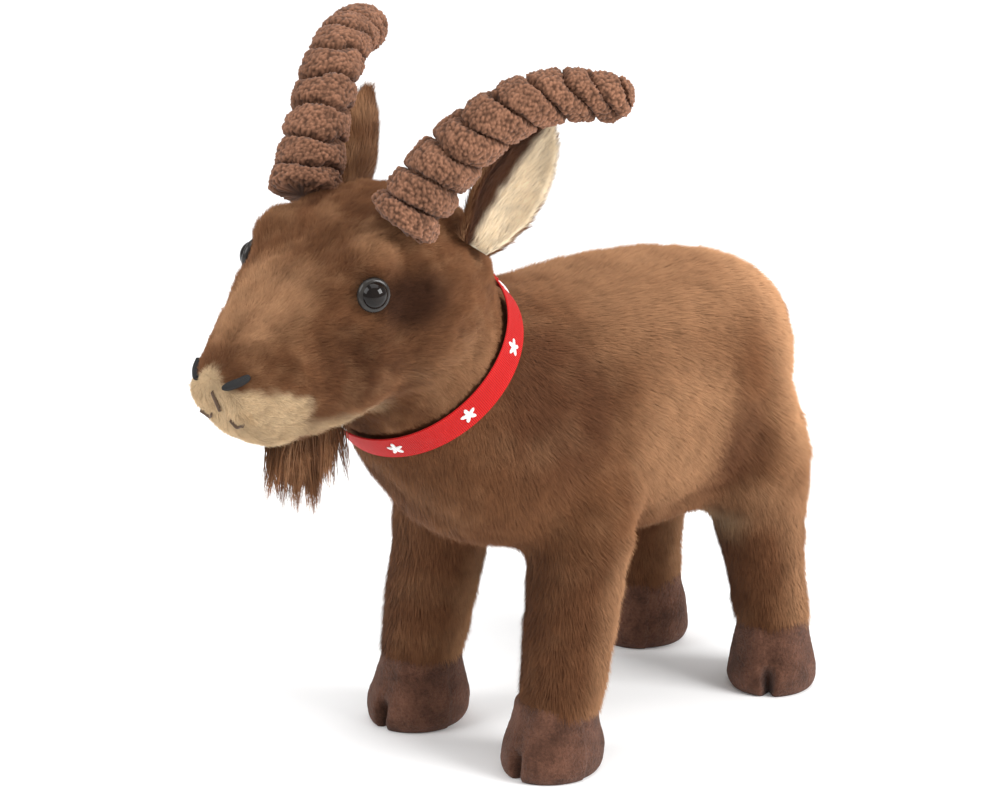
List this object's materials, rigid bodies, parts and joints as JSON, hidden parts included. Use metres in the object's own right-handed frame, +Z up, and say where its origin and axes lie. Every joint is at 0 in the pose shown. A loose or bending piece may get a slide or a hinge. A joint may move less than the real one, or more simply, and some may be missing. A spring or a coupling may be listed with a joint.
{
  "type": "plush ibex",
  "caption": "Stuffed plush mountain goat standing on hooves, with curved ridged horns, cupped ears, a beard, dome eyes and a ribbon collar.",
  "frame": {"origin": "on the floor under the centre of the bounding box", "axes": "+X towards the animal's left side, +Y towards its rear with the nose pointing along -Y, +Z up"},
  "size_m": [0.1294, 0.2672, 0.2501],
  "materials": {
    "plush": "brown plush pile",
    "stuffing": "polyester fibre fill",
    "short_plush": "short cream pile",
    "eye": "polished black with a smoky rim",
    "washer": "natural moulded plastic",
    "dark_thread": "satin stitched thread",
    "boucle": "looped short pile",
    "cream_pile": "soft cream pile",
    "long_pile": "long brushed pile",
    "ribbon": "ribbed grosgrain weave",
    "white_thread": "woven white figure",
    "red_thread": "sewing thread",
    "velour": "brushed suede-like cloth",
    "pellets": "bagged weighting beads"
  },
  "bodies": {
    "body": {"torso_left_panel": "plush", "torso_right_panel": "plush", "belly_gusset": "plush", "neck_strip": "plush", "head_gusset": "plush", "face_left_panel": "plush", "face_right_panel": "plush", "chin_gusset": "plush", "front_left_leg_cover": "plush", "front_right_leg_cover": "plush", "rear_left_leg_cover": "plush", "rear_right_leg_cover": "plush", "torso_stuffing": "stuffing", "neck_stuffing": "stuffing", "head_stuffing": "stuffing", "front_left_leg_stuffing": "stuffing", "front_right_leg_stuffing": "stuffing", "rear_left_leg_stuffing": "stuffing", "rear_right_leg_stuffing": "stuffing", "muzzle_patch": "short_plush", "left_eye": "eye", "right_eye": "eye", "left_eye_washer": "washer", "right_eye_washer": "washer", "left_nostril": "dark_thread", "right_nostril": "dark_thread", "mouth_embroidery": "dark_thread", "front_left_hoof_cover": "velour", "front_left_hoof_sole": "velour", "front_left_hoof_pellets": "pellets", "front_right_hoof_cover": "velour", "front_right_hoof_sole": "velour", "front_right_hoof_pellets": "pellets", "rear_left_hoof_cover": "velour", "rear_left_hoof_sole": "velour", "rear_left_hoof_pellets": "pellets", "rear_right_hoof_cover": "velour", "rear_right_hoof_sole": "velour", "rear_right_hoof_pellets": "pellets"},
    "left_horn": {"left_horn_cover": "boucle", "left_horn_stuffing": "stuffing"},
    "right_horn": {"right_horn_cover": "boucle", "right_horn_stuffing": "stuffing"},
    "left_ear": {"left_ear_back": "plush", "left_ear_lining": "cream_pile"},
    "right_ear": {"right_ear_back": "plush", "right_ear_lining": "cream_pile"},
    "beard": {"beard": "long_pile"},
    "tail": {"tail": "long_pile"},
    "collar": {"collar_ribbon": "ribbon", "collar_flowers": "white_thread", "collar_stitches": "red_thread"}
  },
  "joints": [
    {"name": "left_horn_flex", "type": "hinge", "parent": "body", "child": "left_horn", "pos_m": [0.0248, -0.06638, 0.2006], "axis": [0.887, -0.4617, 0], "range_deg": [-4, 7], "stiffness_Nm_per_rad": 0.12},
    {"name": "right_horn_flex", "type": "hinge", "parent": "body", "child": "right_horn", "pos_m": [-0.0248, -0.06638, 0.2006], "axis": [0.887, 0.4617, 0], "range_deg": [-4, 7], "stiffness_Nm_per_rad": 0.12},
    {"name": "left_ear_flex", "type": "hinge", "parent": "body", "child": "left_ear", "pos_m": [0.028, -0.04418, 0.19], "axis": [0, 0.8001, -0.5998], "range_deg": [-12, 25], "stiffness_Nm_per_rad": 0.02},
    {"name": "right_ear_flex", "type": "hinge", "parent": "body", "child": "right_ear", "pos_m": [-0.028, -0.04418, 0.19], "axis": [0, -0.8001, 0.5998], "range_deg": [-12, 25], "stiffness_Nm_per_rad": 0.02},
    {"name": "beard_swing", "type": "hinge", "parent": "body", "child": "beard", "pos_m": [0, -0.09143, 0.1314], "axis": [0, 0.9979, 0.0653], "range_deg": [-25, 25], "stiffness_Nm_per_rad": 0.01},
    {"name": "tail_lift", "type": "hinge", "parent": "body", "child": "tail", "pos_m": [0, 0.12382, 0.127], "axis": [1, 0, 0], "range_deg": [0, 60], "stiffness_Nm_per_rad": 0.01},
    {"name": "collar_turn", "type": "hinge", "parent": "body", "child": "collar", "pos_m": [0, -0.03968, 0.145], "axis": [0, -0.6691, 0.7431], "continuous": true}
  ]
}
